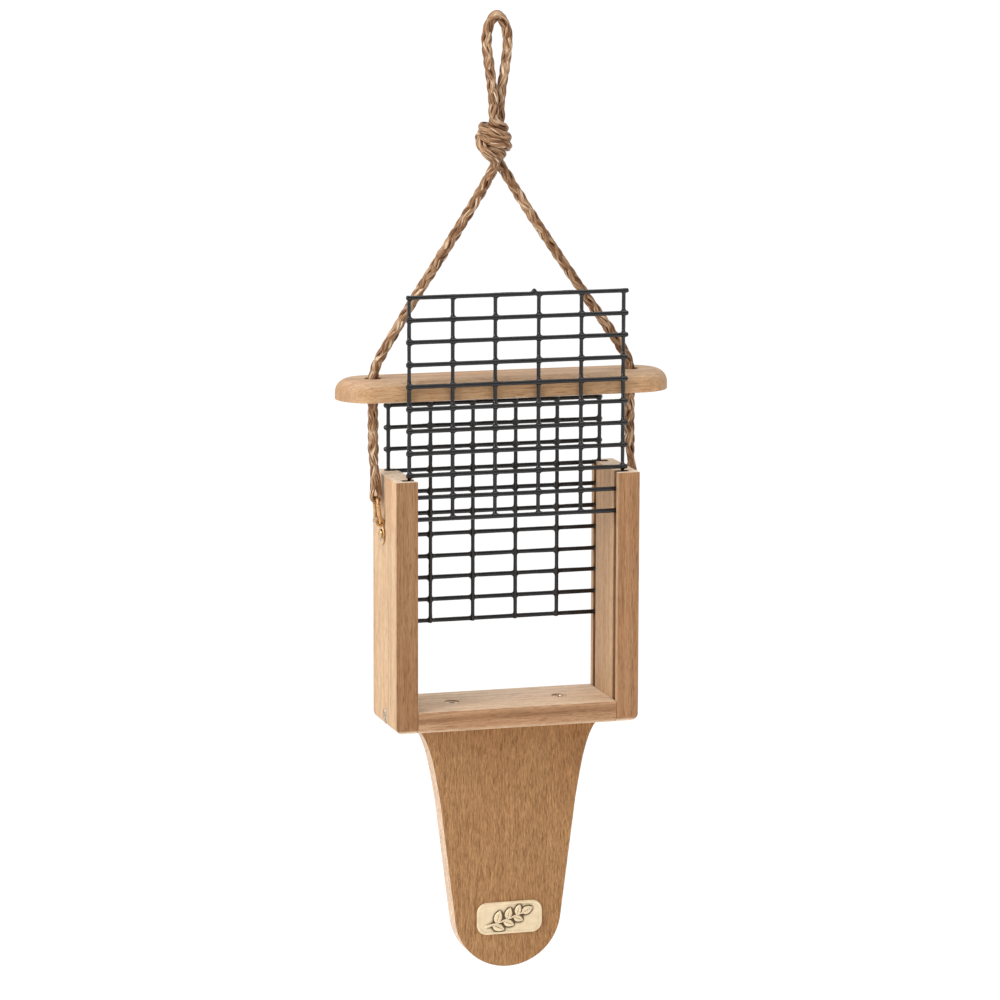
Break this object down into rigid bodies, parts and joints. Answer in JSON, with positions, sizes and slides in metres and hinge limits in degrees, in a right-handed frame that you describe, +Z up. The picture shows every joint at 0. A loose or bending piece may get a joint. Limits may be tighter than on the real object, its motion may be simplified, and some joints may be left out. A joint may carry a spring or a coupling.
{
  "type": "hanging suet feeder",
  "caption": "Wooden suet feeder on a braided rope, with a tail prop, a sliding roof board and lift-out wire grilles.",
  "frame": {"origin": "the hanging point, inside the top of the rope loop", "axes": "+Z up along the hanging line, +X to the object's right seen from the front, -Y towards the front with the badge"},
  "size_m": [0.1964, 0.0508, 0.5548],
  "materials": {
    "frame_wood": "planed pale brown cedar, straight grain, unfinished",
    "tail_wood": "planed cedar, vertical grain, unfinished",
    "roof_wood": "planed cedar with a sanded round-over, grain along its length",
    "coated_wire": "black vinyl coating, satin",
    "hanger_brass": "bright brass plate",
    "screw_steel": "yellow-zinc steel",
    "rope": "tan hollow-braid rope",
    "badge_metal": "cast antique brass, dark in the recess"
  },
  "bodies": {
    "frame": {"left_post": "frame_wood", "right_post": "frame_wood", "base_board": "frame_wood", "tail_board": "tail_wood", "left_frame_screw": "screw_steel", "right_frame_screw": "screw_steel", "left_tail_screw": "screw_steel", "right_tail_screw": "screw_steel", "badge": "badge_metal", "left_hanger_strap": "hanger_brass", "right_hanger_strap": "hanger_brass", "left_hanger_screw": "hanger_brass", "right_hanger_screw": "hanger_brass", "rope_left_leg": "rope", "rope_right_leg": "rope", "rope_knot": "rope", "rope_loop": "rope"},
    "roof": {"roof": "roof_wood"},
    "front_grille": {"front_grille": "coated_wire"},
    "back_grille": {"back_grille": "coated_wire"},
    "left_ring": {"left_hanger_ring": "hanger_brass", "rope_left_eye": "rope"},
    "right_ring": {"right_hanger_ring": "hanger_brass", "rope_right_eye": "rope"}
  },
  "joints": [
    {"name": "roof_slide", "type": "slide", "parent": "frame", "child": "roof", "axis": [0, 0, 1], "range_m": [-0.0442, 0]},
    {"name": "back_grille_slide", "type": "slide", "parent": "frame", "child": "back_grille", "axis": [0, 0, 1], "range_m": [-0.0423, 0.0005]},
    {"name": "front_grille_slide", "type": "slide", "parent": "frame", "child": "front_grille", "axis": [0, 0, 1], "range_m": [-0.1089, 0.019]},
    {"name": "left_ring_swing", "type": "hinge", "parent": "frame", "child": "left_ring", "pos_m": [-0.0698, 0, -0.284], "axis": [0, -1, 0], "range_deg": [0, 5]},
    {"name": "right_ring_swing", "type": "hinge", "parent": "frame", "child": "right_ring", "pos_m": [0.0802, 0, -0.284], "axis": [0, 1, 0], "range_deg": [0, 5]}
  ],
  "couplings": [
    {"joint": "back_grille_slide", "follows": "roof_slide", "ratio": 0.95}
  ]
}
